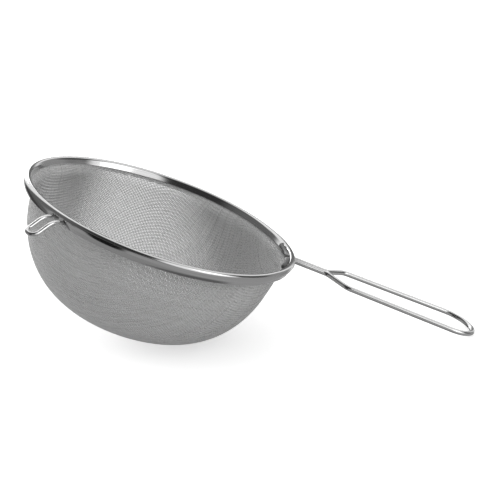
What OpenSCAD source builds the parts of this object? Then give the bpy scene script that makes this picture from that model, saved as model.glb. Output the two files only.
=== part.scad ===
/* [Rim] */
// Outer radius of the round rim
rim_r = 110; // [105:1:115]
// Diameter of the rolled bead along the top of the rim
bead_d = 5.4; // [5.2:0.1:5.8]
// Thickness of the folded sheet strip
sheet_t = 0.6; // [0.5:0.1:0.7]
// Height of the rim from the bead's top to the skirt's lower edge
skirt_h = 9.1; // [8.5:0.1:11]
// How far the skirt's lower edge lies inside the bead's outer radius
skirt_tuck = 1.9; // [1:0.1:2]
// How far the rim bulges outwards where the handle joins
nose_out = 2; // [1:0.1:3]
// Half the angle that the bulge takes
nose_half = 32; // [28:1:36]
// Slope at which the skirt is cut back towards the handle
cutback = 8; // [6:0.5:10]

/* [Bowl] */
// Depth from the bead's top to the underside of the bowl
bowl_depth = 95; // [85:1:100]
// Outer radius of the wire cloth just below the rim
bowl_r = 101; // [99:0.1:102]
// Thickness of the shell that stands for the woven wire cloth
cloth_t = 0.6; // [0.5:0.1:0.9]
// Fullness of the bowl's wall: 2 is an ellipse, more is straighter
wall_full = 2.95; // [2.6:0.05:3.2]
// Fullness of the bowl's bottom: 2 is an ellipse, less is more pointed
bottom_full = 1.9; // [1.8:0.05:2.1]

/* [Handle] */
// Diameter of the handle's wire
handle_d = 4; // [3.8:0.1:4.2]
// Length of the handle from the rim's bulge to the middle of the loop's far end
handle_l = 154.5; // [145:0.5:165]
// Length of the neck where both legs lie side by side
neck_l = 24; // [20:1:28]
// Distance from the middle to each leg where the loop begins
loop_start = 18; // [16:0.5:19]
// Angle at which each leg of the loop runs outwards
loop_flare = 2; // [1:0.5:3]
// Angle of the sharp bends between neck and loop
loop_bend = 45; // [40:1:50]

/* [Hooks] */
// Diameter of the hooks' wire
hook_d = 3.2; // [3:0.1:3.4]
// Angle from the handle to each hook, round the rim
hook_angle = 132.5; // [128:0.5:136]
// Distance between the middles of a hook's two legs
hook_pitch = 9.8; // [9.4:0.2:11.4]
// Upward slope of a hook's legs where they leave the rim
hook_rise = 6; // [2:1:10]
// Downward slope of a hook behind its bend
hook_drop = 38; // [30:1:42]
// Width of the notch in the skirt that a hook comes out of
notch_w = 16.6; // [16:0.2:18]

/* [Resting] */
// Tilt of the rim when the strainer rests on its bowl and its handle
tilt = 19.4; // [18:0.1:21]

/* [Hidden] */
$fn = 64;

// Rim section, measured from the middle of the bead
bead_r = bead_d / 2;
core_r = bead_r - sheet_t;
ring_r = rim_r - bead_r;
rim_wire_r = core_r - 0.1;
hem_h = 1.1;
hem_in = 0.8;
flange_h = 2;
lip_in = 1.2;
lip_h = 2;
notch_top = -1.4;

// The bulge's straights are a hair thicker than the arcs and reach a little into them
joint_proud = 0.02;
joint_reach = 0.5;

// Bent wires: degrees a facet takes along a bend, sides, and how the cut ends are rounded
bend_step = 8;
handle_sides = 16;
hook_sides = 12;
end_rounding = [70, 35];

// Bulge of the rim at the handle: a smaller arc joined by two short straights
nose_shift = nose_out / (1 - cos(nose_half));
nose_r = ring_r - nose_shift * cos(nose_half);
nose_run = nose_shift * sin(nose_half);
// The bead is open on its inner side along the handle's turned ends
open_half = 18.5;
open_lip = -0.8;
core_gap_half = 7;

// Bowl profile, measured from the bead's top
flare_top = -5.6;
flare_low = -12.4;
flare_r = 104.6;
flare_steps = 6;
wall_steps = 30;

// Handle, in its own plane, which passes through the middle of the wire
handle_r = handle_d / 2;
leg_y = handle_r + 0.03;
root_x = nose_shift + nose_r + bead_r;
root_z = -bead_r - 0.2;
sharp_r = 9.2;
turn_r = 5;
end_r = nose_r - rim_wire_r - handle_r - 0.03;
end_half = 16.5;
slot_gap = 0.15;

// Lengths of the loop's straights, from where its bends have to end
bend_run = (loop_start - leg_y - sharp_r * (1 + cos(loop_flare) - 2 * cos(loop_bend)))
    / sin(loop_bend);
loop_x = neck_l + bend_run * cos(loop_bend) + sharp_r * (2 * sin(loop_bend) - sin(loop_flare));
tip_r = (loop_start + tan(loop_flare) * (handle_l - loop_x))
    / (cos(loop_flare) + tan(loop_flare) * (1 + sin(loop_flare)));
loop_run = (handle_l - tip_r * (1 + sin(loop_flare)) - loop_x) / cos(loop_flare);

// The handle's turned ends run along an arc inside the rim's bulge
join_a = asin((leg_y + turn_r) / (end_r + turn_r));
join_x = nose_shift + (end_r + turn_r) * cos(join_a);

// Hooks
hook_r = hook_d / 2;
hook_root = ring_r - 1;
hook_z = -bead_r - rim_wire_r - hook_r;
hook_in = 0.3;
hook_out = 6;
hook_turn_r = 15;
hook_run = 6.5;
hook_lift = 9;
hook_lift_r = 12;

weld_r = 1.1;
neck_welds = [6, 18];
end_welds = [9, 14];

// Bowl profile from its top edge down to the middle of its bottom, moved in by g
function cloth(g) = concat(
    [for (i = [0 : flare_steps])
        let (u = 1 - i / flare_steps)
        [bowl_r + (flare_r - bowl_r) * u * u - g, flare_low + (flare_top - flare_low) * u]],
    [for (i = [1 : wall_steps])
        let (a = 90 * i / wall_steps)
        [i == wall_steps ? 0 : (bowl_r - g) * pow(cos(a), 2 / wall_full),
         flare_low - (bowl_depth + flare_low - g) * pow(sin(a), 2 / bottom_full)]]);

function reversed(list) = [for (i = [len(list) - 1 : -1 : 0]) list[i]];

// Resting position: the bowl and the loop's far end both touch the table
lift = -min([for (p = cloth(0)) p[1] * cos(tilt) - p[0] * sin(tilt)]);
droop = asin((lift - handle_r - root_x * sin(tilt) + root_z * cos(tilt)) / handle_l) - tilt;
tip_x = root_x + (handle_l + handle_r) * cos(droop);
tip_z = root_z - handle_l * sin(droop);
front_x = tip_x * cos(tilt) + tip_z * sin(tilt);
back_x = -(rim_r - skirt_tuck) * cos(tilt) - skirt_h * sin(tilt);
middle_x = (front_x + back_x) / 2;

// Turns a piece from the bowl's own frame to where the strainer rests
module resting() {
    translate([-middle_x, 0, lift]) rotate([0, tilt, 0]) children();
}

// Turns the handle's plane down about its root
module drooping() {
    translate([root_x, 0, root_z]) rotate([0, droop, 0]) translate([-root_x, 0, 0]) children();
}

// Both mirrored halves of a piece
module both_sides() {
    children();
    mirror([0, 1, 0]) children();
}

// Matrix that turns by angle a about the unit axis k
function turn(k, a) = let (c = cos(a), s = sin(a), v = 1 - cos(a)) [
    [c + k.x * k.x * v, k.x * k.y * v - k.z * s, k.x * k.z * v + k.y * s],
    [k.y * k.x * v + k.z * s, c + k.y * k.y * v, k.y * k.z * v - k.x * s],
    [k.z * k.x * v - k.y * s, k.z * k.y * v + k.x * s, c + k.z * k.z * v]];

// Path of a bent wire that starts at p with its frame m, whose X lies along the wire.
// A step is [straight run, bend radius, bend angle, side]; side is the direction in
// which the wire bends, as an angle from the frame's Y. Each place is [point, frame].
function wire_path(steps, p, m, i = 0) = i == len(steps) ? [] :
    let (run = steps[i][0], bend_r = steps[i][1], angle = steps[i][2], side = steps[i][3],
         q = p + m * [run, 0, 0],
         inward = [0, cos(side), sin(side)],
         axis = [0, -sin(side), cos(side)],
         count = ceil(angle / bend_step),
         bend = [for (k = [1 : 1 : count])
             let (t = turn(axis, angle * k / count))
             [q + m * (bend_r * (inward - t * inward)), m * t]],
         last = count > 0 ? bend[count - 1] : [q, m])
    concat(i == 0 ? [[p, m]] : [], run > 0 ? [[q, m]] : [], bend,
           wire_path(steps, last[0], last[1], i + 1));

// Ring of points about a place on the path, moved along the wire
function wire_ring(place, r, along, sides) = [for (j = [0 : sides - 1])
    place[0] + place[1] * [along, r * cos(360 * j / sides), r * sin(360 * j / sides)]];

// One closed length of wire with rounded ends
module wire(path, r, sides) {
    last = len(path) - 1;
    rings = concat(
        [for (a = end_rounding) wire_ring(path[0], r * cos(a), -r * sin(a), sides)],
        [for (place = path) wire_ring(place, r, 0, sides)],
        [for (k = [len(end_rounding) - 1 : -1 : 0])
            wire_ring(path[last], r * cos(end_rounding[k]), r * sin(end_rounding[k]), sides)]);
    count = len(rings);
    polyhedron(
        [for (ring = rings) each ring],
        concat(
            [[for (j = [0 : sides - 1]) j]],
            [[for (j = [sides - 1 : -1 : 0]) (count - 1) * sides + j]],
            [for (k = [0 : count - 2], j = [0 : sides - 1])
                [k * sides + j, (k + 1) * sides + (j + 1) % sides, k * sides + (j + 1) % sides]],
            [for (k = [0 : count - 2], j = [0 : sides - 1])
                [k * sides + j, (k + 1) * sides + j, (k + 1) * sides + (j + 1) % sides]]));
}

// Sweeps a section, drawn about the bead's middle, along the rim and its bulge.
// The second child is the slightly larger section of the two straights.
module along_rim() {
    rotate([0, 0, nose_half]) rotate_extrude(angle = 360 - 2 * nose_half, $fn = 180)
        translate([ring_r, 0]) children(0);
    along_nose(nose_half) children(0);
    both_sides()
        rotate([0, 0, nose_half]) translate([ring_r, joint_reach, 0])
        rotate([90, 0, 0]) linear_extrude(nose_run + 2 * joint_reach) children(1);
}

// Sweeps a section along the bulge alone, to half an angle each way
module along_nose(half) {
    translate([nose_shift, 0, 0]) rotate([0, 0, -half])
        rotate_extrude(angle = 2 * half, $fn = 180) translate([nose_r, 0]) children();
}

// The folded strip, thicker by g on every side: skirt with hem, bead, flange with lip
module band_section(g) {
    skirt_z = bead_r - skirt_h;
    hem_z = skirt_z + hem_h;
    tuck_u = bead_r - skirt_tuck;
    difference() {
        circle(bead_r + g);
        circle(core_r - g);
        translate([-bead_d, -bead_d]) square([2 * bead_d, bead_d]);
    }
    polygon([[bead_r + g, 0], [tuck_u + g, hem_z], [tuck_u - hem_in + g, skirt_z - g],
             [tuck_u - hem_in - sheet_t - g, skirt_z - g], [tuck_u - sheet_t - g, hem_z],
             [core_r - g, 0]]);
    polygon([[-bead_r - g, 0], [-bead_r - g, -flange_h],
             [-bead_r - lip_in - g, -flange_h - lip_h - g],
             [-bead_r - lip_in + sheet_t + g, -flange_h - lip_h - g],
             [-core_r + g, -flange_h], [-core_r + g, 0]]);
}

module rim_band() {
    color("gainsboro") resting() translate([0, 0, -bead_r]) difference() {
        along_rim() {
            band_section(0);
            band_section(joint_proud);
        }
        hook_notch(1);
        hook_notch(-1);
        skirt_cutback();
        along_nose(open_half) translate([open_lip - bead_d, -bead_d])
            square([bead_d, 2 * bead_d]);
        translate([0, 0, bead_r]) drooping() handle_slot();
    }
}

// Notch in the outer skirt, from its lower edge up
module hook_notch(side) {
    rotate([0, 0, side * hook_angle]) translate([ring_r + open_lip, -notch_w / 2, -skirt_h])
        cube([bead_d, notch_w, skirt_h + notch_top]);
}

// Slanting cut that shortens the skirt towards the handle
module skirt_cutback() {
    start_x = ring_r * cos(nose_half + 6);
    translate([start_x, -rim_r, bead_r - skirt_h]) rotate([0, -cutback, 0])
        translate([0, 0, -rim_r]) cube([rim_r, 2 * rim_r, rim_r]);
}

// Slot that both legs of the handle pass through, open at the skirt's lower edge
module handle_slot() {
    w = handle_r + slot_gap;
    side = leg_y + 0.8 * w;
    both_sides() translate([root_x - bead_d, leg_y, 0])
        rotate([0, 90, 0]) cylinder(r = w, h = 2 * bead_d);
    translate([root_x - bead_d, -leg_y, -w]) cube([2 * bead_d, 2 * leg_y, 2 * w]);
    translate([root_x - bead_d, -side, -skirt_h - 0.3 * w]) cube([2 * bead_d, 2 * side, skirt_h]);
}

module rim_wire() {
    color("silver") resting() translate([0, 0, -bead_r]) difference() {
        along_rim() {
            circle(rim_wire_r);
            circle(rim_wire_r + joint_proud);
        }
        along_nose(core_gap_half) square(bead_d, center = true);
    }
}

module mesh_bowl() {
    color("lightgray") resting() rotate_extrude($fn = 180)
        polygon(concat(cloth(0), reversed(cloth(cloth_t))));
}

// One wire: a turned end inside the bulge, the neck, the loop, and all of it back again
module handle_wire() {
    neck = root_x - join_x + neck_l;
    start = [nose_shift + end_r * cos(end_half), -end_r * sin(end_half), 0];
    color("silver") resting() drooping() wire(wire_path(
        [[0, end_r, end_half - join_a, 0],
         [0, turn_r, 90 - join_a, 180],
         [neck, sharp_r, loop_bend, 180],
         [bend_run, sharp_r, loop_bend - loop_flare, 0],
         [loop_run, tip_r, 180 + 2 * loop_flare, 0],
         [loop_run, sharp_r, loop_bend - loop_flare, 0],
         [bend_run, sharp_r, loop_bend, 180],
         [neck, turn_r, 90 - join_a, 180],
         [0, end_r, end_half - join_a, 0]],
        start, turn([0, 0, 1], 90 - end_half)), handle_r, handle_sides);
}

// A hook's wire runs out along one leg, bends down and up again, and comes back
module hook(side) {
    leg = hook_in + hook_out;
    bend = hook_rise + hook_drop;
    color("silver") resting() rotate([0, 0, side * hook_angle])
        translate([hook_root, 0, hook_z]) rotate([0, -hook_rise, 0]) wire(wire_path(
            [[leg, hook_turn_r, bend, -90],
             [hook_run, hook_lift_r, hook_lift, 90],
             [0, hook_pitch / 2, 180, 180],
             [0, hook_lift_r, hook_lift, 90],
             [hook_run, hook_turn_r, bend, -90],
             [leg, 0, 0, 0]],
            [-hook_in, hook_pitch / 2, 0], turn([0, 0, 1], 0)), hook_r, hook_sides);
}

module hook_left() {
    hook(-1);
}

module hook_right() {
    hook(1);
}

module handle_welds() {
    color("gray") resting() {
        drooping() for (s = neck_welds)
            translate([root_x + s, 0, -handle_r * cos(60)]) sphere(weld_r);
        both_sides() for (a = end_welds)
            translate([nose_shift, 0, root_z]) rotate([0, 0, a])
            translate([nose_r - rim_wire_r, 0, handle_r * cos(60)]) sphere(weld_r);
    }
}

module hook_welds() {
    color("gray") resting() for (side = [-1, 1])
        rotate([0, 0, side * hook_angle]) both_sides()
        translate([ring_r, hook_pitch / 2, hook_z + hook_r]) sphere(weld_r);
}

mesh_bowl();
rim_band();
rim_wire();
handle_wire();
hook_left();
hook_right();
handle_welds();
hook_welds();
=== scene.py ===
"""Round kitchen strainer of woven wire cloth, with a folded rim, two rest hooks and a bent wire handle."""

import math

import bmesh
import bpy
import numpy as np
from bpy.props import FloatProperty, FloatVectorProperty, IntProperty, PointerProperty
from mathutils import Matrix, Vector


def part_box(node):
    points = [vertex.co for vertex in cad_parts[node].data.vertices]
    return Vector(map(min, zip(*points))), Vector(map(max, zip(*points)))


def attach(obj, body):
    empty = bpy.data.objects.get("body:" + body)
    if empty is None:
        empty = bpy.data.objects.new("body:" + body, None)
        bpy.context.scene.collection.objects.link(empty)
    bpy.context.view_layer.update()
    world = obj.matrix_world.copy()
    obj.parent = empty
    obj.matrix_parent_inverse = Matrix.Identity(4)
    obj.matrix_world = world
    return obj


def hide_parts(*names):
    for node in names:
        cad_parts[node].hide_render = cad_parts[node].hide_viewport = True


bl_info = {
    "name": "Wire Cloth Strainer",
    "version": (1, 0, 0),
    "blender": (4, 5, 0),
    "location": "View3D > Sidebar > Strainer",
    "description": "Dresses a kitchen strainer in woven cloth, folded sheet and bent wire",
    "category": "Add Mesh",
}

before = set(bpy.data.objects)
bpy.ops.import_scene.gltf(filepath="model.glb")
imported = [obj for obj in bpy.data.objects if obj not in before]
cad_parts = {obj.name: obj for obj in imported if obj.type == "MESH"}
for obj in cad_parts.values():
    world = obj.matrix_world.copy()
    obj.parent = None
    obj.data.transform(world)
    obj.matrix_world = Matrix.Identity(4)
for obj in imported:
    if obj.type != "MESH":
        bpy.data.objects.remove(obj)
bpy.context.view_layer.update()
BODY = "root"
BANDS = ("first", "second", "third", "fourth")


class BowlSettings(bpy.types.PropertyGroup):
    """Sizes of the wire cloth and of the bowl that it is drawn into"""

    tilt: FloatProperty(
        name="Tilt", description="Tilt of the rim when the strainer rests on the table",
        default=math.radians(19.4), subtype="ANGLE", unit="ROTATION")
    radius: FloatProperty(
        name="Radius", description="Outer radius of the cloth just below the rim",
        default=0.101, subtype="DISTANCE", unit="LENGTH")
    depth: FloatProperty(
        name="Depth", description="From the bead's top to the underside of the bowl",
        default=0.095, subtype="DISTANCE", unit="LENGTH")
    edge_radius: FloatProperty(
        name="Edge radius", description="Outer radius of the solid bowl's upper edge",
        default=0.1046, subtype="DISTANCE", unit="LENGTH")
    edge_drop: FloatProperty(
        name="Edge drop", description="Depth of that upper edge below the bead's top",
        default=0.0056, subtype="DISTANCE", unit="LENGTH")
    flare_drop: FloatProperty(
        name="Flare drop", description="Depth at which the cloth starts to widen towards the rim",
        default=0.014, subtype="DISTANCE", unit="LENGTH")
    clamp_drop: FloatProperty(
        name="Clamp drop", description="Depth at which the cloth ends inside the folded rim",
        default=0.0049, subtype="DISTANCE", unit="LENGTH")
    flare: FloatProperty(
        name="Flare", description="How much the cloth widens inside the rim",
        default=0.0049, subtype="DISTANCE", unit="LENGTH")
    wall_fullness: FloatProperty(
        name="Wall fullness", description="2 is an ellipse, more is straighter", default=2.95)
    bottom_fullness: FloatProperty(
        name="Bottom fullness", description="2 is an ellipse, less is more pointed", default=1.9)
    pitch: FloatProperty(
        name="Pitch", description="Distance between neighbouring wires of the cloth",
        default=0.0013, subtype="DISTANCE", unit="LENGTH")
    wire: FloatProperty(
        name="Wire", description="Diameter of the cloth's wires",
        default=0.00074, subtype="DISTANCE", unit="LENGTH")
    sides: IntProperty(
        name="Sides", description="Sides of each fine wire", default=6, min=3, max=8)
    turn: FloatProperty(
        name="Turn", description="Angle from the handle to the nearest straight warp wire",
        default=math.radians(13.0), subtype="ANGLE", unit="ROTATION")


class RimSettings(bpy.types.PropertyGroup):
    """Sizes of the folded strip round the bowl"""

    ring_radius: FloatProperty(
        name="Ring radius", description="Radius of the circle through the bead's middle",
        default=0.1073, subtype="DISTANCE", unit="LENGTH")
    bead: FloatProperty(
        name="Bead", description="Diameter of the rolled bead",
        default=0.0054, subtype="DISTANCE", unit="LENGTH")
    sheet: FloatProperty(
        name="Sheet", description="Thickness of the strip",
        default=0.0006, subtype="DISTANCE", unit="LENGTH")
    skirt: FloatProperty(
        name="Skirt", description="From the bead's top to the skirt's lower edge",
        default=0.0091, subtype="DISTANCE", unit="LENGTH")
    tuck: FloatProperty(
        name="Tuck", description="How far the skirt's lower edge lies inside the bead's outside",
        default=0.0019, subtype="DISTANCE", unit="LENGTH")
    skirt_curve: FloatProperty(
        name="Skirt curve", description="1 is a straight skirt, more turns its lower part inwards",
        default=2.2)
    hem: FloatProperty(
        name="Hem", description="Radius of the curl along the skirt's lower edge",
        default=0.0008, subtype="DISTANCE", unit="LENGTH")
    nose: FloatProperty(
        name="Nose", description="How far the rim bulges out where the handle joins",
        default=0.002, subtype="DISTANCE", unit="LENGTH")
    nose_half: FloatProperty(
        name="Nose half angle", description="Half the angle that the bulge takes",
        default=math.radians(32.0), subtype="ANGLE", unit="ROTATION")
    open_half: FloatProperty(
        name="Opening half angle", description="Half the angle over which the bead's inside is open",
        default=math.radians(18.5), subtype="ANGLE", unit="ROTATION")
    cutback: FloatProperty(
        name="Cutback", description="Slope at which the skirt gets shorter towards the handle",
        default=math.radians(8.0), subtype="ANGLE", unit="ROTATION")
    notch: FloatProperty(
        name="Notch", description="Width of the notch that each hook comes out of",
        default=0.0142, subtype="DISTANCE", unit="LENGTH")
    flange: FloatProperty(
        name="Flange", description="From the bead's top to the inner flange's lower edge",
        default=0.0051, subtype="DISTANCE", unit="LENGTH")
    flange_slope: FloatProperty(
        name="Flange slope", description="Angle between the inner flange and the rim's axis",
        default=math.radians(24.0), subtype="ANGLE", unit="ROTATION")
    corner: FloatProperty(
        name="Corner", description="Length over which the skirt runs up to a notch",
        default=0.0085, subtype="DISTANCE", unit="LENGTH")
    corner_lift: FloatProperty(
        name="Corner lift", description="How much shorter the skirt is at a notch",
        default=0.0034, subtype="DISTANCE", unit="LENGTH")
    corner_tuck: FloatProperty(
        name="Corner tuck", description="How far the skirt is pressed in at a notch",
        default=0.0008, subtype="DISTANCE", unit="LENGTH")
    slot_half: FloatProperty(
        name="Slot half width", description="Half the width of the slot for the handle's legs",
        default=0.00418, subtype="DISTANCE", unit="LENGTH")
    columns: IntProperty(
        name="Columns", description="Columns of faces round the rim", default=288, min=90)


class HandleSettings(bpy.types.PropertyGroup):
    """Sizes of the bent wire handle"""

    wire: FloatProperty(
        name="Wire", description="Diameter of the handle's wire",
        default=0.004, subtype="DISTANCE", unit="LENGTH")
    length: FloatProperty(
        name="Length", description="From the rim to the middle of the loop's far end",
        default=0.1545, subtype="DISTANCE", unit="LENGTH")
    neck: FloatProperty(
        name="Neck", description="Length over which both legs lie side by side",
        default=0.024, subtype="DISTANCE", unit="LENGTH")
    half_width: FloatProperty(
        name="Half width", description="From the middle to each leg where the loop begins",
        default=0.018, subtype="DISTANCE", unit="LENGTH")
    flare: FloatProperty(
        name="Flare", description="Angle at which the loop's legs run apart",
        default=math.radians(2.0), subtype="ANGLE", unit="ROTATION")
    bend: FloatProperty(
        name="Bend", description="Angle of the sharp bends behind the neck",
        default=math.radians(45.0), subtype="ANGLE", unit="ROTATION")
    # Over this length at each turned end, the wire's colour is darkened as painted shade where the end lies
    # in the rim's cavity. The same weight also makes the end rougher.
    darkened: FloatProperty(
        name="Shaded end length", description="Length of each turned end that the weld's heat has dulled",
        default=0.034, subtype="DISTANCE", unit="LENGTH")


class HookSettings(bpy.types.PropertyGroup):
    """Sizes of the two rest hooks"""

    wire: FloatProperty(
        name="Wire", description="Diameter of the hooks' wire",
        default=0.0032, subtype="DISTANCE", unit="LENGTH")
    angle: FloatProperty(
        name="Angle", description="Angle round the rim from the handle to each hook",
        default=math.radians(132.5), subtype="ANGLE", unit="ROTATION")
    pitch: FloatProperty(
        name="Pitch", description="Distance between the middles of a hook's two legs",
        default=0.0098, subtype="DISTANCE", unit="LENGTH")
    rise: FloatProperty(
        name="Rise", description="Upward slope of the legs where they leave the rim",
        default=math.radians(6.0), subtype="ANGLE", unit="ROTATION")
    drop: FloatProperty(
        name="Drop", description="Downward slope behind the bend",
        default=math.radians(38.0), subtype="ANGLE", unit="ROTATION")


class FinishSettings(bpy.types.PropertyGroup):
    """Colours and gloss of the steel"""

    cloth: FloatVectorProperty(
        name="Cloth", description="Colour of the woven wires", default=(0.62, 0.62, 0.62),
        size=3, min=0, max=1, subtype="COLOR")
    sheet: FloatVectorProperty(
        name="Sheet", description="Colour of the rim's strip", default=(0.75, 0.75, 0.75),
        size=3, min=0, max=1, subtype="COLOR")
    wire: FloatVectorProperty(
        name="Wire", description="Colour of handle and hooks", default=(0.85, 0.85, 0.85),
        size=3, min=0, max=1, subtype="COLOR")
    weld: FloatVectorProperty(
        name="Weld", description="Colour of the spot welds", default=(0.30, 0.29, 0.28),
        size=3, min=0, max=1, subtype="COLOR")
    floor: FloatVectorProperty(
        name="Floor", description="Colour of the floor", default=(0.82, 0.82, 0.82),
        size=3, min=0, max=1, subtype="COLOR")


class StageSettings(bpy.types.PropertyGroup):
    """Camera, floor and lights"""

    azimuth: FloatProperty(
        name="Azimuth", description="Camera's angle round the strainer; 0 looks along +Y",
        default=math.radians(-0.66), subtype="ANGLE", unit="ROTATION")
    elevation: FloatProperty(
        name="Elevation", description="Camera's angle above the horizon",
        default=math.radians(18.24), subtype="ANGLE", unit="ROTATION")
    roll: FloatProperty(
        name="Roll", description="Camera's turn about its own axis",
        default=math.radians(0.05), subtype="ANGLE", unit="ROTATION")
    distance: FloatProperty(
        name="Distance", description="From the camera to the middle of the rim, along its axis",
        default=1.211, subtype="DISTANCE", unit="LENGTH")
    lens: FloatProperty(
        name="Lens", description="Focal length in pixels of the 500 pixel picture", default=1549.5)
    rim_x: FloatProperty(
        name="Rim X", description="Column of the picture that shows the rim's middle", default=161.5)
    rim_y: FloatProperty(
        name="Rim Y", description="Row of the picture that shows the rim's middle", default=212.5)
    floor_size: FloatProperty(
        name="Floor size", description="Length of the floor's sides", default=24.0,
        subtype="DISTANCE", unit="LENGTH")
    left_box: FloatProperty(
        name="Left softbox", description="Power of the soft light behind the strainer on the left",
        default=7.0, unit="POWER")
    right_box: FloatProperty(
        name="Right softbox", description="Power of the soft light in front on the right",
        default=1.6, unit="POWER")
    fill_box: FloatProperty(
        name="Fill softbox", description="Power of the wide soft light on the far left",
        default=12.0, unit="POWER")
    room: FloatProperty(
        name="Room", description="Brightness of the unlit room that the metal mirrors", default=0.1)
    ground: FloatProperty(
        name="Ground", description="Brightness of the floor that the metal mirrors", default=0.33)


class StrainerSettings(bpy.types.PropertyGroup):
    """All sizes, colours and lights of the strainer"""

    bowl: PointerProperty(type=BowlSettings, name="Bowl", description="Wire cloth bowl")
    rim: PointerProperty(type=RimSettings, name="Rim", description="Folded rim")
    handle: PointerProperty(type=HandleSettings, name="Handle", description="Wire handle")
    hooks: PointerProperty(type=HookSettings, name="Hooks", description="Rest hooks")
    finish: PointerProperty(type=FinishSettings, name="Finish", description="Colours")
    stage: PointerProperty(type=StageSettings, name="Stage", description="Camera and lights")


def settings():
    return bpy.context.scene.strainer


# Places

def resting_matrix():
    """Turns the bowl's own frame, whose origin is the middle of the bead's top, to the table."""
    bowl = settings().bowl
    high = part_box("mesh_bowl")[1]
    c, s = math.cos(bowl.tilt), math.sin(bowl.tilt)
    middle = Vector((
        high.x - bowl.edge_radius * c + bowl.edge_drop * s,
        0,
        high.z - bowl.edge_radius * s + bowl.edge_drop * c))
    return Matrix.Translation(middle) @ Matrix.Rotation(bowl.tilt, 4, "Y")


def nose_shift(rim):
    return rim.nose / (1 - math.cos(rim.nose_half))


def nose_radius(rim):
    return rim.ring_radius - nose_shift(rim) * math.cos(rim.nose_half)


def rim_place(rim, angle):
    """Point of the bead's middle line where the rim faces in that direction."""
    if abs(angle) < rim.nose_half:
        r = nose_radius(rim)
        return nose_shift(rim) + r * math.cos(angle), r * math.sin(angle)
    return rim.ring_radius * math.cos(angle), rim.ring_radius * math.sin(angle)


def rim_bulge(rim, angle):
    """How far the rim lies outside its circle, at polar angles given as an array."""
    shift, r = nose_shift(rim), nose_radius(rim)
    reach = shift * np.cos(angle) + np.sqrt(r * r - (shift * np.sin(angle)) ** 2)
    return np.where(np.abs(angle) < rim.nose_half, np.maximum(reach - rim.ring_radius, 0), 0)


# Meshes

def mesh_object(name, points, edges=(), faces=()):
    mesh = bpy.data.meshes.new(name)
    mesh.from_pydata([tuple(p) for p in points], list(edges), list(faces))
    mesh.update()
    thing = bpy.data.objects.new(name, mesh)
    bpy.context.scene.collection.objects.link(thing)
    return thing


def add_attribute(mesh, name, kind, values):
    attribute = mesh.attributes.new(name, kind, "POINT")
    field = "vector" if kind == "FLOAT_VECTOR" else "value"
    attribute.data.foreach_set(field, np.asarray(values, np.float32).ravel())


def finished(thing, name, material):
    """Plain mesh of an object with all its modifiers taken in, in place of that object."""
    graph = bpy.context.evaluated_depsgraph_get()
    mesh = bpy.data.meshes.new_from_object(thing.evaluated_get(graph), depsgraph=graph)
    base = thing.data
    bpy.data.objects.remove(thing)
    bpy.data.meshes.remove(base)
    mesh.name = name
    if not mesh.materials:
        mesh.materials.append(material)
    made = bpy.data.objects.new(name, mesh)
    bpy.context.scene.collection.objects.link(made)
    return made


def hand_over(piece, slot, *nodes):
    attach(piece, BODY)
    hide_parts(*nodes)


def smooth(mesh):
    mesh.polygons.foreach_set("use_smooth", [True] * len(mesh.polygons))


# Wire along a path

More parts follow.
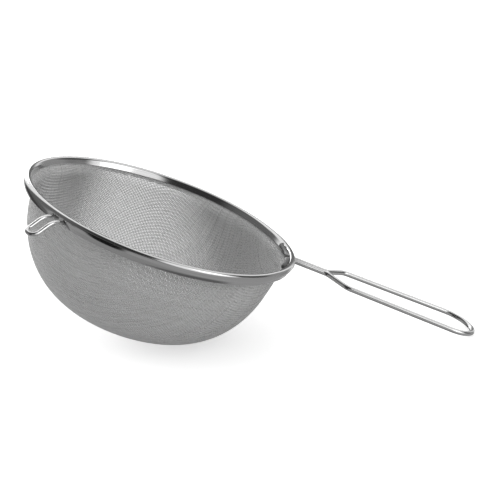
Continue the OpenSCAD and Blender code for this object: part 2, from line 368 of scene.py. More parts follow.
def wire_tree():
    """Geometry Nodes that run a round wire along every path of points."""
    name = "Wire along path"
    if name in bpy.data.node_groups:
        return bpy.data.node_groups[name]
    tree = bpy.data.node_groups.new(name, "GeometryNodeTree")
    tree.is_modifier = True
    sockets = (("Path", "INPUT", "NodeSocketGeometry"), ("Diameter", "INPUT", "NodeSocketFloat"),
               ("Sides", "INPUT", "NodeSocketInt"), ("Crimp", "INPUT", "NodeSocketFloat"),
               ("Material", "INPUT", "NodeSocketMaterial"), ("Wire", "OUTPUT", "NodeSocketGeometry"))
    for label, way, kind in sockets:
        tree.interface.new_socket(label, in_out=way, socket_type=kind)

    def node(kind, **values):
        made = tree.nodes.new(kind)
        for key, value in values.items():
            setattr(made, key, value)
        return made

    def link(a, out, b, into):
        tree.links.new(a.outputs[out], b.inputs[into])

    given = node("NodeGroupInput")
    half = node("ShaderNodeMath", operation="MULTIPLY")
    half.inputs[1].default_value = 0.5
    link(given, "Diameter", half, 0)

    lift = node("GeometryNodeInputNamedAttribute", data_type="FLOAT_VECTOR")
    lift.inputs["Name"].default_value = "lift"
    offset = node("ShaderNodeVectorMath", operation="SCALE")
    link(lift, "Attribute", offset, 0)
    link(given, "Crimp", offset, "Scale")
    raised = node("GeometryNodeSetPosition")
    link(given, "Path", raised, "Geometry")
    link(offset, 0, raised, "Offset")

    curve = node("GeometryNodeMeshToCurve")
    link(raised, "Geometry", curve, "Mesh")
    along = node("GeometryNodeSplineParameter")
    path = node("GeometryNodeCaptureAttribute")
    path.capture_items.new("FLOAT", "Along")
    link(curve, "Curve", path, "Geometry")
    link(along, "Length", path, "Along")

    circle = node("GeometryNodeCurvePrimitiveCircle")
    circle.inputs["Radius"].default_value = 1.0
    link(given, "Sides", circle, "Resolution")
    place = node("GeometryNodeInputPosition")
    section = node("GeometryNodeCaptureAttribute")
    section.capture_items.new("VECTOR", "Round")
    link(circle, "Curve", section, "Geometry")
    link(place, "Position", section, "Round")

    girth = node("GeometryNodeInputNamedAttribute", data_type="FLOAT")
    girth.inputs["Name"].default_value = "girth"
    scale = node("ShaderNodeMath", operation="MULTIPLY")
    link(girth, "Attribute", scale, 0)
    link(half, 0, scale, 1)
    swept = node("GeometryNodeCurveToMesh")
    swept.inputs["Fill Caps"].default_value = True
    link(path, "Geometry", swept, "Curve")
    link(section, "Geometry", swept, "Profile Curve")
    link(scale, 0, swept, "Scale")

    split = node("ShaderNodeSeparateXYZ")
    grain = node("ShaderNodeCombineXYZ")
    link(section, "Round", split, 0)
    link(split, "X", grain, "X")
    link(split, "Y", grain, "Y")
    link(path, "Along", grain, "Z")
    kept = node("GeometryNodeStoreNamedAttribute", data_type="FLOAT_VECTOR")
    kept.inputs["Name"].default_value = "grain"
    link(swept, "Mesh", kept, "Geometry")
    link(grain, 0, kept, "Value")

    shaded = node("GeometryNodeSetShadeSmooth")
    real = node("GeometryNodeRealizeInstances")
    coated = node("GeometryNodeSetMaterial")
    made = node("NodeGroupOutput")
    link(kept, "Geometry", shaded, "Geometry")
    link(shaded, "Geometry", real, "Geometry")
    link(real, "Geometry", coated, "Geometry")
    link(given, "Material", coated, "Material")
    link(coated, "Geometry", made, "Wire")
    return tree


def sweep_wire(name, paths, diameter, sides, crimp, material):
    """Round wires through lists of (point, girth, lift, end weight), as one plain mesh. The end weight paints
    shade on the wire's colour and also makes it rougher.
    """
    points, girths, lifts, shade_and_dullness_list, edges = [], [], [], [], []
    for path in paths:
        start = len(points)
        edges += [(start + k, start + k + 1) for k in range(len(path) - 1)]
        for point, girth, lift, shade_and_dullness in path:
            points.append(point)
            girths.append(girth)
            lifts.append(lift)
            shade_and_dullness_list.append(shade_and_dullness)
    thing = mesh_object(name, points, edges)
    add_attribute(thing.data, "girth", "FLOAT", girths)
    add_attribute(thing.data, "lift", "FLOAT_VECTOR", lifts)
    add_attribute(thing.data, "shade_and_dullness", "FLOAT", shade_and_dullness_list)
    tree = wire_tree()
    modifier = thing.modifiers.new("Wire", "NODES")
    modifier.node_group = tree
    values = {"Diameter": diameter, "Sides": sides, "Crimp": crimp, "Material": material}
    for item in tree.interface.items_tree:
        if item.name in values:
            modifier[item.identifier] = values[item.name]
    return finished(thing, name, material)


def bent_path(steps, start, frame_matrix, place, radius, darkened):
    """Path of a bent wire with rounded ends. A step is (run, bend radius, angle, side)."""
    step_angle = math.radians(4)
    point, turned = Vector(start), frame_matrix.copy()
    places = [(point.copy(), 1.0, turned.copy())]
    for run, bend, angle, side in steps:
        if run > 0:
            pieces = max(1, round(run / (6 * radius)))
            for k in range(pieces):
                point = point + turned @ Vector((run / pieces, 0, 0))
                places.append((point.copy(), 1.0, turned.copy()))
        if angle > 0:
            inward = Vector((0, math.cos(side), math.sin(side)))
            axis = Vector((0, -math.sin(side), math.cos(side)))
            count = math.ceil(angle / step_angle)
            before, frame_before = point.copy(), turned.copy()
            for k in range(1, count + 1):
                turn = Matrix.Rotation(angle * k / count, 3, axis)
                point = before + frame_before @ (bend * (inward - turn @ inward))
                turned = frame_before @ turn
                places.append((point.copy(), 1.0, turned.copy()))
    ends = [math.radians(a) for a in (88, 70, 52, 34, 17)]
    first, last = places[0], places[-1]
    head = [(first[0] + first[2] @ Vector((-radius * math.sin(a), 0, 0)), math.cos(a)) for a in ends]
    tail = [(last[0] + last[2] @ Vector((radius * math.sin(a), 0, 0)), math.cos(a)) for a in ends[::-1]]
    body = [(p, g) for p, g, _ in places]
    path = head + body + tail
    along = [0.0]
    for k in range(1, len(path)):
        along.append(along[-1] + (path[k][0] - path[k - 1][0]).length)
    # Each end gets a weight that fades out over that length. It paints shade on the colour and adds
    # roughness.
    from_end = [min(s, along[-1] - s) / darkened for s in along]
    return [(place @ p, g, (0, 0, 0), max(0.0, 1 - u ** 4)) for (p, g), u in zip(path, from_end)]


# Cloth

def bowl_outline(bowl, inset):
    """Cloth's middle surface as arrays of arc length from the pole, radius and height."""
    radius, bottom = bowl.radius - inset, bowl.depth - bowl.flare_drop - inset
    a = np.linspace(math.pi / 2, 0, 400)
    r = radius * np.maximum(np.cos(a), 0) ** (2 / bowl.wall_fullness)
    z = -bowl.flare_drop - bottom * np.sin(a) ** (2 / bowl.bottom_fullness)
    u = np.linspace(0, 1, 40)[1:]
    r = np.concatenate([r, radius + bowl.flare * u * u])
    z = np.concatenate([z, -bowl.flare_drop + (bowl.flare_drop - bowl.clamp_drop) * u])
    r[0] = 0
    # A straight run past the clamped edge lets the net be drawn over it and cut there
    r = np.append(r, r[-1])
    z = np.append(z, z[-1] + 0.03)
    s = np.concatenate([[0], np.cumsum(np.hypot(np.diff(r), np.diff(z)))])
    return s, r, z


def draw_net(outline, pitch, count):
    """Quarter of a net of equal meshes laid on the bowl from its pole: arc length and angle.

    The two wires through the pole run straight up the wall. Every other knot lies one
    pitch from its two neighbours, so the meshes shear on the diagonals as drawn cloth does.
    """
    s_list, r_list, z_list = outline
    arc = np.zeros((count, count))
    turn = np.zeros((count, count))
    spots = np.zeros((count, count, 3))

    def surface(s, t):
        r = np.interp(s, s_list, r_list)
        return np.stack([r * np.cos(t), r * np.sin(t), np.interp(s, s_list, z_list)], -1)

    axis = np.arange(count) * pitch
    arc[:, 0] = arc[0, :] = axis
    turn[0, 1:] = math.pi / 2
    spots[:, 0] = surface(arc[:, 0], turn[:, 0])
    spots[0, :] = surface(arc[0, :], turn[0, :])
    small = pitch * 1e-3
    for total in range(2, 2 * count - 1):
        i = np.arange(max(1, total - count + 1), min(count - 1, total - 1) + 1)
        j = total - i
        a, b, c = spots[i - 1, j], spots[i, j - 1], spots[i - 1, j - 1]
        guess = a + b - c
        t = np.arctan2(guess[:, 1], guess[:, 0])
        s = arc[i - 1, j] + arc[i, j - 1] - arc[i - 1, j - 1]
        for _ in range(12):
            here = surface(s, t)
            by_s = (surface(s + small, t) - here) / small
            by_t = np.stack([-here[:, 1], here[:, 0], 0 * s], -1)
            gap_a = ((here - a) ** 2).sum(1) - pitch ** 2
            gap_b = ((here - b) ** 2).sum(1) - pitch ** 2
            m11, m12 = 2 * ((here - a) * by_s).sum(1), 2 * ((here - a) * by_t).sum(1)
            m21, m22 = 2 * ((here - b) * by_s).sum(1), 2 * ((here - b) * by_t).sum(1)
            det = m11 * m22 - m12 * m21
            det = np.where(np.abs(det) < 1e-12, 1e-12, det)
            ds = (gap_a * m22 - gap_b * m12) / det
            dt = (gap_b * m11 - gap_a * m21) / det
            s = s - np.clip(ds, -pitch, pitch)
            t = t - np.clip(dt, -0.05, 0.05)
        arc[i, j], turn[i, j] = s, t
        spots[i, j] = surface(s, t)
    return arc, turn


# Materials

def steel(name, colour, roughness, streak, bump, attribute="grain", metal=1.0):
    """Stainless steel with fine drawing lines along the wire or strip."""
    material = bpy.data.materials.new(name)
    material.use_nodes = True
    nodes, links = material.node_tree.nodes, material.node_tree.links
    shader = next(n for n in nodes if n.type == "BSDF_PRINCIPLED")
    shader.inputs["Metallic"].default_value = metal
    if attribute:
        source = nodes.new("ShaderNodeAttribute")
        source.attribute_name = attribute
        where = source.outputs["Vector"]
    else:
        where = nodes.new("ShaderNodeTexCoord").outputs["Object"]
    stretch = nodes.new("ShaderNodeVectorMath")
    stretch.operation = "MULTIPLY"
    stretch.inputs[1].default_value = streak
    links.new(where, stretch.inputs[0])
    lines = nodes.new("ShaderNodeTexNoise")
    lines.inputs["Scale"].default_value = 1.0
    lines.inputs["Detail"].default_value = 4.0
    links.new(stretch.outputs[0], lines.inputs["Vector"])

    tone = nodes.new("ShaderNodeMapRange")
    tone.inputs["From Min"].default_value = 0.3
    tone.inputs["From Max"].default_value = 0.7
    tone.inputs["To Min"].default_value = 0.88
    tone.inputs["To Max"].default_value = 1.08
    links.new(lines.outputs["Fac"], tone.inputs["Value"])
    # Where the end weight is set, the colour is darkened as painted shade and the roughness is raised.
    shade_and_dullness = nodes.new("ShaderNodeAttribute")
    shade_and_dullness.attribute_name = "shade_and_dullness"
    darker = nodes.new("ShaderNodeMath")
    darker.operation = "MULTIPLY_ADD"
    darker.inputs[1].default_value = -0.75
    darker.inputs[2].default_value = 1.0
    links.new(shade_and_dullness.outputs["Fac"], darker.inputs[0])
    shade = nodes.new("ShaderNodeMath")
    shade.operation = "MULTIPLY"
    links.new(tone.outputs[0], shade.inputs[0])
    links.new(darker.outputs[0], shade.inputs[1])
    tint = nodes.new("ShaderNodeVectorMath")
    tint.operation = "SCALE"
    tint.inputs[0].default_value = colour
    links.new(shade.outputs[0], tint.inputs["Scale"])
    links.new(tint.outputs[0], shader.inputs["Base Color"])

    gloss = nodes.new("ShaderNodeMapRange")
    gloss.inputs["From Min"].default_value = 0.3
    gloss.inputs["From Max"].default_value = 0.7
    gloss.inputs["To Min"].default_value = roughness * 0.75
    gloss.inputs["To Max"].default_value = roughness * 1.3
    links.new(lines.outputs["Fac"], gloss.inputs["Value"])
    rougher = nodes.new("ShaderNodeMath")
    rougher.operation = "MULTIPLY_ADD"
    rougher.inputs[1].default_value = 0.45
    links.new(shade_and_dullness.outputs["Fac"], rougher.inputs[0])
    links.new(gloss.outputs[0], rougher.inputs[2])
    links.new(rougher.outputs[0], shader.inputs["Roughness"])

    relief = nodes.new("ShaderNodeBump")
    relief.inputs["Strength"].default_value = 0.4
    relief.inputs["Distance"].default_value = bump
    links.new(lines.outputs["Fac"], relief.inputs["Height"])
    links.new(relief.outputs[0], shader.inputs["Normal"])
    return material


# Operators

class STRAINER_OT_cloth(bpy.types.Operator):
    """Weaves the wire cloth and draws it into the bowl"""

    bl_idname = "strainer.cloth"
    bl_label = "Wire Cloth"

    def execute(self, context):
        own = settings()
        bowl, rim = own.bowl, own.rim
        place = np.array(resting_matrix())
        outline = bowl_outline(bowl, bowl.wire + 0.0001)
        clamp = outline[0][-2]
        count = int(clamp / bowl.pitch) + 8
        arc, turn = draw_net(outline, bowl.pitch, count)
        full = 2 * count - 1
        middle = count - 1
        index = np.arange(full) - middle
        i, j = np.meshgrid(index, index, indexing="ij")
        s = arc[np.abs(i), np.abs(j)]
        t = turn[np.abs(i), np.abs(j)]
        t = np.where(i < 0, math.pi - t, t)
        t = np.where(j < 0, -t, t) + bowl.turn
        t = (t + math.pi) % (2 * math.pi) - math.pi
        s_list, r_list, z_list = outline
        r, z = np.interp(s, s_list, r_list), np.interp(s, s_list, z_list)
        # The upper edge follows the rim's bulge and ends under the handle's turned ends
        rise = np.clip((z + 0.034) / 0.0273, 0, 1)
        r = r + rim_bulge(rim, t) * rise * rise * (3 - 2 * rise)
        inside = s <= clamp
        inside &= ~((np.abs(t) < math.radians(20)) & (z > -0.0058))
        slope = np.gradient(r_list, s_list), np.gradient(z_list, s_list)
        dr, dz = np.interp(s, s_list, slope[0]), np.interp(s, s_list, slope[1])
        knots = np.stack([r * np.cos(t), r * np.sin(t), z, np.ones_like(z)], -1) @ place.T
        normals = np.stack([dz * np.cos(t), dz * np.sin(t), -dr], -1)
        normals = normals / np.linalg.norm(normals, axis=-1, keepdims=True) @ place[:3, :3].T
        over = np.where((i + j) % 2 == 0, 1.0, -1.0)

        material = steel("Woven wire", own.finish.cloth, 0.3, (0.6, 0.6, 900.0), 0.00002, metal=0.4)
        # Each band of wires is a piece of its own, with about as many crossings as the others
        share = np.cumsum(inside.sum(axis=0)) / inside.sum()
        bands = np.minimum((share * len(BANDS)).astype(int), len(BANDS) - 1)
        for warp, band in ((warp, band) for warp in (True, False) for band in range(len(BANDS))):
            name = ("warp_wires_" if warp else "weft_wires_") + BANDS[band]
            paths = []
            for line in np.flatnonzero(bands == band):
                pick = (slice(None), line) if warp else (line, slice(None))
                keep = np.flatnonzero(inside[pick])
                if len(keep) < 4:
                    continue
                sign = over[pick] * (1 if warp else -1)
                points, outward = knots[pick][:, :3], normals[pick]
                for run in np.split(keep, np.flatnonzero(np.diff(keep) > 1) + 1):
                    if len(run) > 3:
                        paths.append([(points[k], 1.0, outward[k] * sign[k], 0.0) for k in run])
            wires = sweep_wire(name, paths, bowl.wire, bowl.sides, bowl.wire / 2, material)
            hand_over(wires, "wire_cloth", "mesh_bowl")
        return {"FINISHED"}


def rim_section(rim):
    """Middle line of the folded strip about the bead's middle, from hem to lip."""
    half = rim.sheet / 2
    bead = rim.bead / 2 - half
    low = rim.bead / 2 - rim.skirt
    foot = rim.bead / 2 - rim.tuck - half
    curl = rim.hem - half
    hem_z = low + rim.hem
    points = []
    for k in range(7):
        a = math.radians(-160 + 160 * k / 6)
        points.append((foot - curl + curl * math.cos(a), hem_z + curl * math.sin(a)))
    # The skirt leaves the bead straight down and turns in more and more towards its hem
    for k in range(7, 0, -1):
        t = k / 8
        points.append((bead - (bead - foot) * t ** rim.skirt_curve, hem_z * t))
    over = math.pi - rim.flange_slope
    for k in range(17):
        a = over * k / 16
        points.append((bead * math.cos(a), bead * math.sin(a)))
    # The flange leaves the bead in line with it, slants inwards and ends on the cloth
    start_u, start_w = points[-1]
    drop = start_w + rim.flange - rim.bead / 2
    for k in range(1, 8):
        points.append((start_u - drop * math.tan(rim.flange_slope) * k / 7, start_w - drop * k / 7))
    return points


class STRAINER_OT_rim(bpy.types.Operator):
    """Folds the sheet strip round the bowl's edge and finishes the wire inside it"""

    bl_idname = "strainer.rim"
    bl_label = "Folded Rim"

    def execute(self, context):
        own = settings()
        rim, hooks = own.rim, own.hooks
        section = rim_section(rim)
        notch_half = rim.notch / 2 / rim.ring_radius
        slot_angle = math.asin(rim.slot_half / (nose_radius(rim) + rim.bead / 2))
        stops = {-rim.nose_half, rim.nose_half, -rim.open_half, rim.open_half, -slot_angle, slot_angle}
        for side in (-1, 1):
            for edge in (-1, 1):
                stops.add(side * hooks.angle + edge * notch_half)
                for k in range(1, 8):
                    beyond = notch_half + k / 8 * rim.corner / rim.ring_radius
                    stops.add(side * hooks.angle + edge * beyond)
        regular = [-math.pi + 2 * math.pi * k / rim.columns for k in range(rim.columns)]
        gap = math.pi / rim.columns * 0.9
        angles = sorted([a for a in regular if all(abs(a - b) > gap for b in stops)] + list(stops))
        # Each end of the bulge has a second column, where its short straight meets the circle
        columns = []
        for a in angles:
            x, y = rim_place(rim, a)
            if abs(abs(a) - rim.nose_half) < 1e-6:
                inner = (nose_shift(rim) + nose_radius(rim) * math.cos(a), nose_radius(rim) * math.sin(a))
                outer = (rim.ring_radius * math.cos(a), rim.ring_radius * math.sin(a))
                columns += [(a, *outer), (a, *inner)] if a < 0 else [(a, *inner), (a, *outer)]
            else:
                columns.append((a, x, y))
        place = resting_matrix()
        start_x = rim.ring_radius * math.cos(rim.nose_half + math.radians(6))
        points, grain = [], []
        for a, x, y in columns:
            shortened = max(0.0, x + rim.bead / 2 * math.cos(a) - start_x) * math.tan(rim.cutback)
            # The skirt runs up to each notch in a round corner and is pressed in there
            past = (abs(abs(a) - hooks.angle) - notch_half) * rim.ring_radius / rim.corner
            near = max(0.0, 1 - max(0.0, past))
            shortened += rim.corner_lift * near ** 3
            tucked = rim.corner_tuck * near * near
            full = rim.skirt - rim.bead / 2
            run = 0.0
            before = section[0]
            for u, w in section:
                if w < 0 and u > 0:
                    u -= tucked * min(1.0, -w / full)
                    w = w * (full - shortened) / full
                p = Vector((x + u * math.cos(a), y + u * math.sin(a), w - rim.bead / 2))
                points.append(place @ p)
                run += math.hypot(u - before[0], w - before[1])
                before = (u, w)
                grain.append((run, math.cos(a), math.sin(a)))
        rows = len(section)
        skirt_rows = 12
        open_row = next(k for k, (u, w) in enumerate(section) if k > 15 and u < -0.0018)
        slot_row = next(k for k, (u, w) in enumerate(section) if k > 15 and w > 0.0018)
        faces = []
        for c in range(len(columns)):
            d = (c + 1) % len(columns)
            middle = (columns[c][0] + columns[d][0]) / 2 if d else math.pi
            in_notch = any(abs(middle - side * hooks.angle) < notch_half for side in (-1, 1))
            in_opening = abs(middle) < rim.open_half
            for k in range(rows - 1):
                if in_notch and k < skirt_rows:
                    continue
                if in_opening and k >= open_row - 1:
                    continue
                if abs(middle) < slot_angle and k < slot_row:
                    continue
                faces.append((c * rows + k, d * rows + k, d * rows + k + 1, c * rows + k + 1))
        band = mesh_object("rim_band_folded", points, (), faces)
        add_attribute(band.data, "grain", "FLOAT_VECTOR", grain)
        material = steel("Rim sheet", own.finish.sheet, 0.12, (6000.0, 2.0, 2.0), 0.00001)
        band.data.materials.append(material)
        solid = band.modifiers.new("Thickness", "SOLIDIFY")
        solid.thickness = rim.sheet
        solid.offset = 0
        bevel = band.modifiers.new("Edges", "BEVEL")
        bevel.width = 0.00012
        bevel.segments = 2
        bevel.limit_method = "ANGLE"
        bevel.angle_limit = math.radians(60)
        band = finished(band, "rim_band_folded", material)
        smooth(band.data)
        hand_over(band, "rim_sheet", "rim_band")

        bare = steel("Drawn wire inside the rim", own.finish.wire, 0.25, (400.0, 400.0, 400.0),
                     0.00001, attribute=None)
        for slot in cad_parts["rim_wire"].material_slots:
            slot.material = bare
        return {"FINISHED"}


def drawn_wire():
    name = "Drawn wire"
    if name in bpy.data.materials:
        return bpy.data.materials[name]
    return steel(name, settings().finish.wire, 0.16, (9.0, 9.0, 60.0), 0.00001)


class STRAINER_OT_handle(bpy.types.Operator):
    """Bends the handle from one length of wire"""

    bl_idname = "strainer.handle"
    bl_label = "Wire Handle"

    def execute(self, context):
        own = settings()
        rim, handle, bowl = own.rim, own.handle, own.bowl
        radius = handle.wire / 2
        leg = radius + 0.00003
        sharp, tight = 0.0092, 0.005
        shift, nose = nose_shift(rim), nose_radius(rim)
        root_x = shift + nose + rim.bead / 2
        root_z = -rim.bead / 2 - 0.0002
        wire_in_rim = rim.bead / 2 - rim.sheet - 0.0001
        end_radius = nose - wire_in_rim - radius - 0.00003
        end_half = math.radians(16.5)
        bend, flare = handle.bend, handle.flare
        run = (handle.half_width - leg - sharp * (1 + math.cos(flare) - 2 * math.cos(bend))) / math.sin(bend)
        loop_x = handle.neck + run * math.cos(bend) + sharp * (2 * math.sin(bend) - math.sin(flare))
        tip = ((handle.half_width + math.tan(flare) * (handle.length - loop_x))
               / (math.cos(flare) + math.tan(flare) * (1 + math.sin(flare))))
        side = (handle.length - tip * (1 + math.sin(flare)) - loop_x) / math.cos(flare)
        join = math.asin((leg + tight) / (end_radius + tight))
        join_x = shift + (end_radius + tight) * math.cos(join)
        neck = root_x - join_x + handle.neck
        left, right = 0.0, math.pi
        half_path = [(0, end_radius, end_half - join, left), (0, tight, math.pi / 2 - join, right),
                     (neck, sharp, bend, right), (run, sharp, bend - flare, left)]
        steps = half_path + [(side, tip, math.pi + 2 * flare, left), (side, sharp, bend - flare, left),
                             (run, sharp, bend, right), (neck, tight, math.pi / 2 - join, right),
                             (0, end_radius, end_half - join, left)]
        # The loop's far end comes down until it touches the table
        lift = resting_matrix().translation.z
        reach = lift - radius - root_x * math.sin(bowl.tilt) + root_z * math.cos(bowl.tilt)
        droop = math.asin(reach / handle.length) - bowl.tilt
        lowered = (Matrix.Translation((root_x, 0, root_z)) @ Matrix.Rotation(droop, 4, "Y")
                   @ Matrix.Translation((-root_x, 0, 0)))
        start = (shift + end_radius * math.cos(end_half), -end_radius * math.sin(end_half), 0)
        first = Matrix.Rotation(math.pi / 2 - end_half, 3, "Z")
        # The turned ends, which lie in the rim's cavity, get painted shade over the darkened length.
        path = bent_path(steps, start, first, resting_matrix() @ lowered, radius, handle.darkened)
        wire = sweep_wire("handle_wire_bent", [path], handle.wire, 28, 0.0, drawn_wire())
        hand_over(wire, "drawn_wire", "handle_wire")
        return {"FINISHED"}


class STRAINER_OT_hooks(bpy.types.Operator):
    """Bends the two rest hooks"""

    bl_idname = "strainer.hooks"
    bl_label = "Rest Hooks"

    def execute(self, context):
        own = settings()
        rim, hooks = own.rim, own.hooks
        radius = hooks.wire / 2
        inner = rim.ring_radius - 0.001
        height = -rim.bead / 2 - (rim.bead / 2 - rim.sheet - 0.0001) - radius
        reach_in, leg = 0.0003, 0.0063
        down, up, straight = 0.015, 0.012, 0.0065
        lift = math.radians(9)
        below, above = -math.pi / 2, math.pi / 2
        bend = hooks.rise + hooks.drop
        steps = [(leg, down, bend, below), (straight, up, lift, above),
                 (0, hooks.pitch / 2, math.pi, math.pi), (0, up, lift, above),
                 (straight, down, bend, below), (leg, 0, 0, 0)]
        for name, side in (("hook_left", -1), ("hook_right", 1)):
            place = (resting_matrix() @ Matrix.Rotation(side * hooks.angle, 4, "Z")
                     @ Matrix.Translation((inner, 0, height)) @ Matrix.Rotation(-hooks.rise, 4, "Y"))
            start = (-reach_in, hooks.pitch / 2, 0)
            # The last 2.3 mm of each leg, which runs in under the bead, gets painted shade.
            path = bent_path(steps, start, Matrix.Identity(3), place, radius, reach_in + 0.002)
            wire = sweep_wire(name + "_bent", [path], hooks.wire, 24, 0.0, drawn_wire())
            hand_over(wire, "drawn_wire", name)
        return {"FINISHED"}


class STRAINER_OT_welds(bpy.types.Operator):
    """Gives the spot welds their rough, heat-darkened finish"""

    bl_idname = "strainer.welds"
    bl_label = "Spot Welds"

    def execute(self, context):
        darkened = steel("Weld metal", settings().finish.weld, 0.45, (900.0, 900.0, 900.0),
                      0.0001, attribute=None)
        for name in ("handle_welds", "hook_welds"):
            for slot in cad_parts[name].material_slots:
                slot.material = darkened
        return {"FINISHED"}


def ray_share(nodes, links, camera, glossy, transmission):
    """Sum of one level each for rays from the camera, from a mirroring surface and through glass."""
    path = nodes.new("ShaderNodeLightPath")
    total = None
    for kind, level in (("Is Camera Ray", camera), ("Is Glossy Ray", glossy),
                        ("Is Transmission Ray", transmission)):
        part = nodes.new("ShaderNodeMath")
        part.operation = "MULTIPLY_ADD"
        part.inputs[2].default_value = 0.0
        links.new(path.outputs[kind], part.inputs[0])
        if hasattr(level, "is_output"):
            links.new(level, part.inputs[1])
        else:
            part.inputs[1].default_value = level
        if total is not None:
            links.new(total, part.inputs[2])
        total = part.outputs[0]
    return total


def direction(azimuth, elevation):
    """Unit vector; azimuth is in degrees from the camera's side, counted to the right."""
    az, el = math.radians(azimuth), math.radians(elevation)
    return Vector((math.sin(az) * math.cos(el), -math.cos(az) * math.cos(el), math.sin(el)))


def mirrored_room(nodes, links, room, ground):
    """What polished metal mirrors: a white backdrop behind, soft lights and a dim room in front.

    Each patch has a direction, the angles from it at which it ends and is full, and a level.
    """
    # The patch straight below, (0, -90), is painted shade. It stands in for the floor's shadow under the
    # bowl, which the skirt's hem mirrors.
    patches = ((-115, 30, 50, 28, 0.14), (175, 24, 58, 46, 1.0), (180, 0, 33, 18, 0.15),
               (130, 52, 34, 22, 0.85), (118, 0, 34, 20, 0.3), (50, 20, 39, 28, 1.0), (-8, 50, 33, 23, 0.035),
               (-39, 2, 22, 13, 0.01), (103, 16, 22, 14, 0.07), (-60, -58, 42, 24, 0.27),
               (0, -90, 24, 14, 0.12), (-44, -13, 19, 11, 0.01), (-128, -17, 24, 12, 0.12),
               (-142, -17, 16, 7, 0.05))
    towards = nodes.new("ShaderNodeTexCoord").outputs["Generated"]
    split = nodes.new("ShaderNodeSeparateXYZ")
    links.new(towards, split.inputs[0])
    horizon = nodes.new("ShaderNodeMapRange")
    horizon.interpolation_type = "SMOOTHSTEP"
    for key, value in (("From Min", -0.1), ("From Max", 0.1), ("To Min", ground), ("To Max", room)):
        horizon.inputs[key].default_value = value
    links.new(split.outputs["Z"], horizon.inputs["Value"])
    total = horizon.outputs[0]
    for azimuth, elevation, edge, core, level in patches:
        facing = nodes.new("ShaderNodeVectorMath")
        facing.operation = "DOT_PRODUCT"
        facing.inputs[1].default_value = direction(azimuth, elevation)
        links.new(towards, facing.inputs[0])
        fade = nodes.new("ShaderNodeMapRange")
        fade.interpolation_type = "SMOOTHSTEP"
        fade.inputs["From Min"].default_value = math.cos(math.radians(edge))
        fade.inputs["From Max"].default_value = math.cos(math.radians(core))
        links.new(facing.outputs["Value"], fade.inputs["Value"])
        mixed = nodes.new("ShaderNodeMix")
        mixed.inputs["B"].default_value = level
        links.new(fade.outputs[0], mixed.inputs["Factor"])
        links.new(total, mixed.inputs["A"])
        total = mixed.outputs["Result"]
    return total


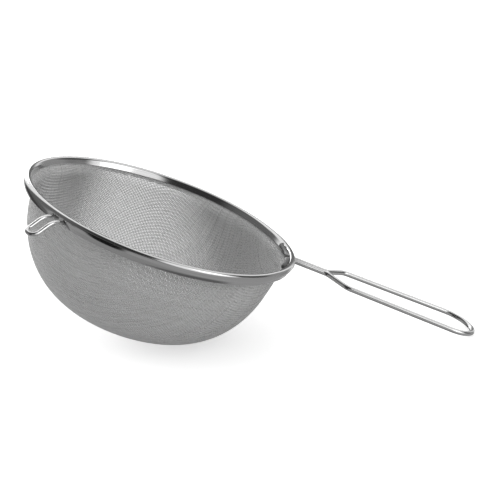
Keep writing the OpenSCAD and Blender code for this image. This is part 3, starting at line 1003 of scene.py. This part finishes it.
class STRAINER_OT_stage(bpy.types.Operator):
    """Sets up the floor, the white background, the soft lights and the camera"""

    bl_idname = "strainer.stage"
    bl_label = "Stage"

    def execute(self, context):
        own = settings()
        stage = own.stage
        scene = context.scene
        scene.view_settings.view_transform = "Standard"

        half = stage.floor_size / 2
        floor = mesh_object("floor", [(-half, -half, 0), (half, -half, 0), (half, half, 0),
                                      (-half, half, 0)], (), [(0, 1, 2, 3)])
        pale = bpy.data.materials.new("Pale floor")
        pale.use_nodes = True
        nodes, links = pale.node_tree.nodes, pale.node_tree.links
        shader = next(n for n in nodes if n.type == "BSDF_PRINCIPLED")
        shader.inputs["Roughness"].default_value = 0.9
        shader.inputs["Specular IOR Level"].default_value = 0.1
        shader.inputs["Base Color"].default_value = (*own.finish.floor, 1)
        shader.inputs["Emission Color"].default_value = (1, 1, 1, 1)
        links.new(ray_share(nodes, links, 0.5, 0.0, 0.5), shader.inputs["Emission Strength"])
        floor.data.materials.append(pale)
        floor.visible_glossy = False

        world = bpy.data.worlds.new("White studio")
        scene.world = world
        world.use_nodes = True
        nodes, links = world.node_tree.nodes, world.node_tree.links
        background = next(n for n in nodes if n.type == "BACKGROUND")
        background.inputs["Color"].default_value = (1, 1, 1, 1)
        mirrored = mirrored_room(nodes, links, stage.room, stage.ground)
        diffuse = nodes.new("ShaderNodeLightPath").outputs["Is Diffuse Ray"]
        level = nodes.new("ShaderNodeMath")
        level.operation = "MULTIPLY_ADD"
        level.inputs[1].default_value = 0.85
        links.new(diffuse, level.inputs[0])
        links.new(ray_share(nodes, links, 1.0, mirrored, 1.0), level.inputs[2])
        links.new(level.outputs[0], background.inputs["Strength"])

        for name, power, size, azimuth, elevation, far, mirrored in (
                ("left_softbox", stage.left_box, 1.0, -160, 14, 1.8, True),
                ("fill_softbox", stage.fill_box, 1.2, -95, 22, 1.8, False),
                ("right_softbox", stage.right_box, 0.7, 58, 22, 1.5, True)):
            lamp = bpy.data.lights.new(name, "AREA")
            lamp.energy = power
            lamp.size = size
            light = bpy.data.objects.new(name, lamp)
            light.location = direction(azimuth, elevation) * far
            light.rotation_euler = direction(azimuth, elevation).to_track_quat("Z", "Y").to_euler()
            light.visible_camera = False
            light.visible_glossy = mirrored
            scene.collection.objects.link(light)

        az, el = stage.azimuth, stage.elevation
        back = Vector((math.sin(az) * math.cos(el), -math.cos(az) * math.cos(el), math.sin(el)))
        right = Vector((math.cos(az), math.sin(az), 0))
        up = back.cross(right)
        turned = Matrix.Rotation(stage.roll, 3, back)
        right, up = turned @ right, turned @ up
        middle = resting_matrix().translation
        scale = stage.distance / stage.lens
        spot = (middle - (stage.rim_x - 250) * scale * right + (stage.rim_y - 250) * scale * up
                + stage.distance * back)
        data = bpy.data.cameras.new("camera")
        data.sensor_width = 36
        data.lens = stage.lens / 500 * data.sensor_width
        data.clip_start = 0.05
        data.clip_end = 60
        camera = bpy.data.objects.new("camera", data)
        camera.matrix_world = Matrix.Translation(spot) @ Matrix((right, up, back)).transposed().to_4x4()
        scene.collection.objects.link(camera)
        scene.camera = camera
        return {"FINISHED"}


class STRAINER_PT_panel(bpy.types.Panel):
    """Lists the pieces of the strainer"""

    bl_idname = "STRAINER_PT_panel"
    bl_label = "Wire Cloth Strainer"
    bl_space_type = "VIEW_3D"
    bl_region_type = "UI"
    bl_category = "Strainer"

    def draw(self, context):
        for operator in OPERATORS:
            self.layout.operator(operator.bl_idname)


OPERATORS = (STRAINER_OT_stage, STRAINER_OT_cloth, STRAINER_OT_rim, STRAINER_OT_handle,
             STRAINER_OT_hooks, STRAINER_OT_welds)
CLASSES = (BowlSettings, RimSettings, HandleSettings, HookSettings, FinishSettings, StageSettings,
           StrainerSettings, *OPERATORS, STRAINER_PT_panel)


def register():
    for kind in CLASSES:
        bpy.utils.register_class(kind)
    bpy.types.Scene.strainer = PointerProperty(type=StrainerSettings)


def unregister():
    del bpy.types.Scene.strainer
    for kind in reversed(CLASSES):
        bpy.utils.unregister_class(kind)


def main():
    register()
    for operator in OPERATORS:
        group, name = operator.bl_idname.split(".")
        getattr(getattr(bpy.ops, group), name)()


if __name__ == "__main__":
    main()
